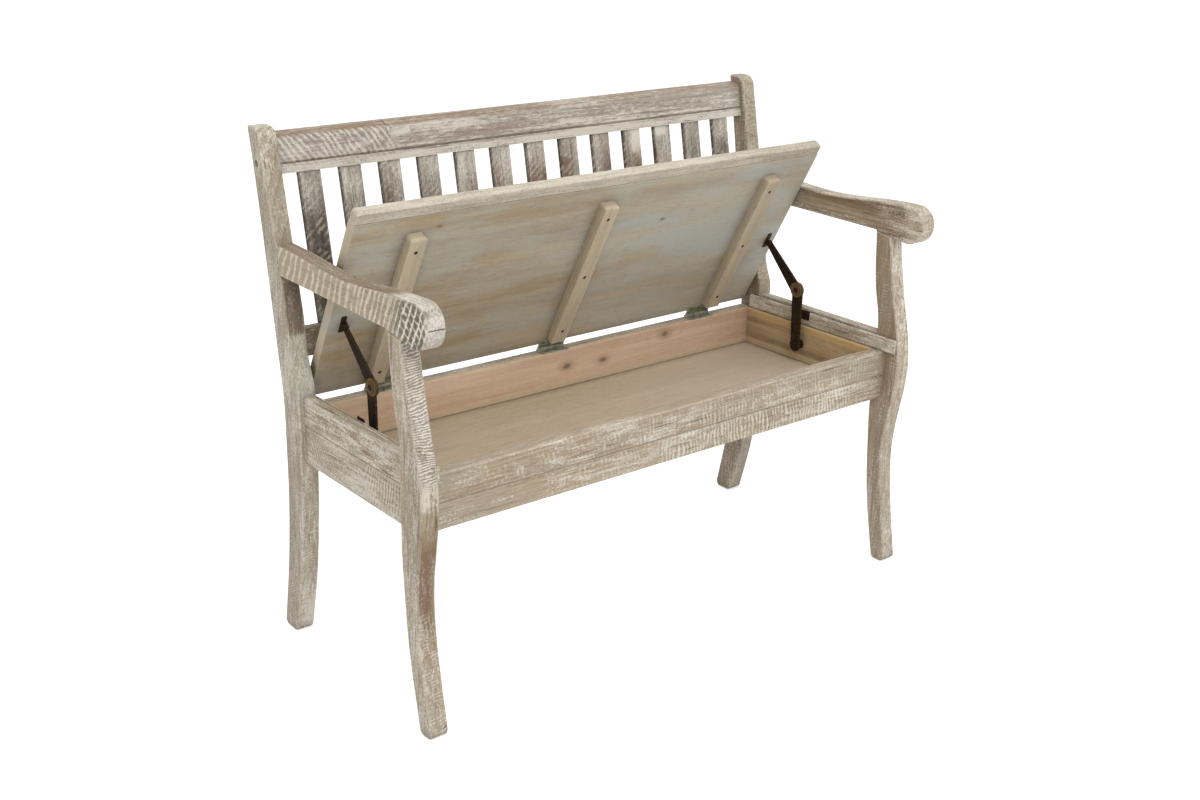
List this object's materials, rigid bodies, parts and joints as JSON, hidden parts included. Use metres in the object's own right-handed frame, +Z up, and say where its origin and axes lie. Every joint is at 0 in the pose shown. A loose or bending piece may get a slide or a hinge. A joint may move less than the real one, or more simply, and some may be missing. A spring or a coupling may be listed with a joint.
{
  "type": "storage settle bench",
  "caption": "Wooden settle bench with a slatted raked back, curved legs, arms with round knuckles and a storage box under a hinged lid held by folding stays.",
  "frame": {"origin": "centre of the bench's outline on the floor", "axes": "+X along the length, from the left arm to the right one as the front is seen; +Y from the front to the back; +Z up"},
  "size_m": [1.107, 0.5161, 0.886],
  "materials": {
    "frame_wood": "worn whitewash over brown wood, with saw marks",
    "apron_wood": "worn whitewash with upright saw marks",
    "rail_wood": "grey-brown weathered wood",
    "slat_wood": "grey-brown mottled wood",
    "lid_wood": "smooth grey-beige stain",
    "batten_wood": "smooth pinkish beige",
    "liner_wood": "smooth pinkish tan",
    "stay_metal": "dark bronze",
    "hinge_metal": "dull zinc plate",
    "screw_metal": "dark steel"
  },
  "bodies": {
    "frame": {"back_post_left": "frame_wood", "front_leg_left": "frame_wood", "arm_left": "frame_wood", "side_liner_left": "liner_wood", "side_strip_left": "apron_wood", "side_apron_left_upper": "apron_wood", "side_apron_left_lower": "apron_wood", "stay_base_left": "stay_metal", "back_post_right": "frame_wood", "front_leg_right": "frame_wood", "arm_right": "frame_wood", "side_liner_right": "liner_wood", "side_strip_right": "apron_wood", "side_apron_right_upper": "apron_wood", "side_apron_right_lower": "apron_wood", "stay_base_right": "stay_metal", "crest_rail": "rail_wood", "lower_back_rail": "rail_wood", "back_slat_01": "slat_wood", "back_slat_02": "slat_wood", "back_slat_03": "slat_wood", "back_slat_04": "slat_wood", "back_slat_05": "slat_wood", "back_slat_06": "slat_wood", "back_slat_07": "slat_wood", "back_slat_08": "slat_wood", "back_slat_09": "slat_wood", "back_slat_10": "slat_wood", "back_slat_11": "slat_wood", "back_slat_12": "slat_wood", "back_slat_13": "slat_wood", "front_apron_upper": "apron_wood", "front_apron_lower": "apron_wood", "back_apron": "apron_wood", "front_liner": "liner_wood", "back_liner": "liner_wood", "bottom_panel": "liner_wood", "hinge_box_leaf_1": "hinge_metal", "hinge_box_leaf_2": "hinge_metal", "hinge_box_leaf_3": "hinge_metal", "hinge_pins": "hinge_metal", "hinge_screws_box": "screw_metal", "stay_keepers": "stay_metal", "dowel_plugs": "frame_wood"},
    "lid": {"lid_panel": "lid_wood", "lid_lipping": "lid_wood", "lid_batten_1": "batten_wood", "lid_batten_2": "batten_wood", "lid_batten_3": "batten_wood", "batten_screws": "screw_metal", "hinge_lid_leaf_1": "hinge_metal", "hinge_lid_leaf_2": "hinge_metal", "hinge_lid_leaf_3": "hinge_metal", "hinge_screws_lid": "screw_metal", "stay_bracket_left": "stay_metal", "stay_bracket_right": "stay_metal"},
    "upper_stay_left": {"stay_upper_arm_left": "stay_metal"},
    "lower_stay_left": {"stay_lower_arm_left": "stay_metal"},
    "upper_stay_right": {"stay_upper_arm_right": "stay_metal"},
    "lower_stay_right": {"stay_lower_arm_right": "stay_metal"}
  },
  "joints": [
    {"name": "lid_hinge", "type": "hinge", "parent": "frame", "child": "lid", "pos_m": [0, 0.17, 0.431], "axis": [1, 0, 0], "range_deg": [-3, 63.8]},
    {"name": "lower_stay_left_pivot", "type": "hinge", "parent": "frame", "child": "lower_stay_left", "pos_m": [-0.4883, -0.001, 0.3895], "axis": [1, 0, 0], "range_deg": [-3.95, 84.09]},
    {"name": "upper_stay_left_pivot", "type": "hinge", "parent": "lid", "child": "upper_stay_left", "pos_m": [-0.4849, 0.08631, 0.58027], "axis": [1, 0, 0], "range_deg": [-99.1, 4.66]},
    {"name": "lower_stay_right_pivot", "type": "hinge", "parent": "frame", "child": "lower_stay_right", "pos_m": [0.4943, -0.001, 0.3895], "axis": [1, 0, 0], "range_deg": [-3.95, 84.09]},
    {"name": "upper_stay_right_pivot", "type": "hinge", "parent": "lid", "child": "upper_stay_right", "pos_m": [0.4909, 0.08631, 0.58027], "axis": [1, 0, 0], "range_deg": [-99.1, 4.66]}
  ],
  "couplings": [
    {"joint": "lower_stay_left_pivot", "follows": "lid_hinge", "ratio": 1.318},
    {"joint": "upper_stay_left_pivot", "follows": "lid_hinge", "ratio": -1.5533},
    {"joint": "lower_stay_right_pivot", "follows": "lid_hinge", "ratio": 1.318},
    {"joint": "upper_stay_right_pivot", "follows": "lid_hinge", "ratio": -1.5533}
  ]
}
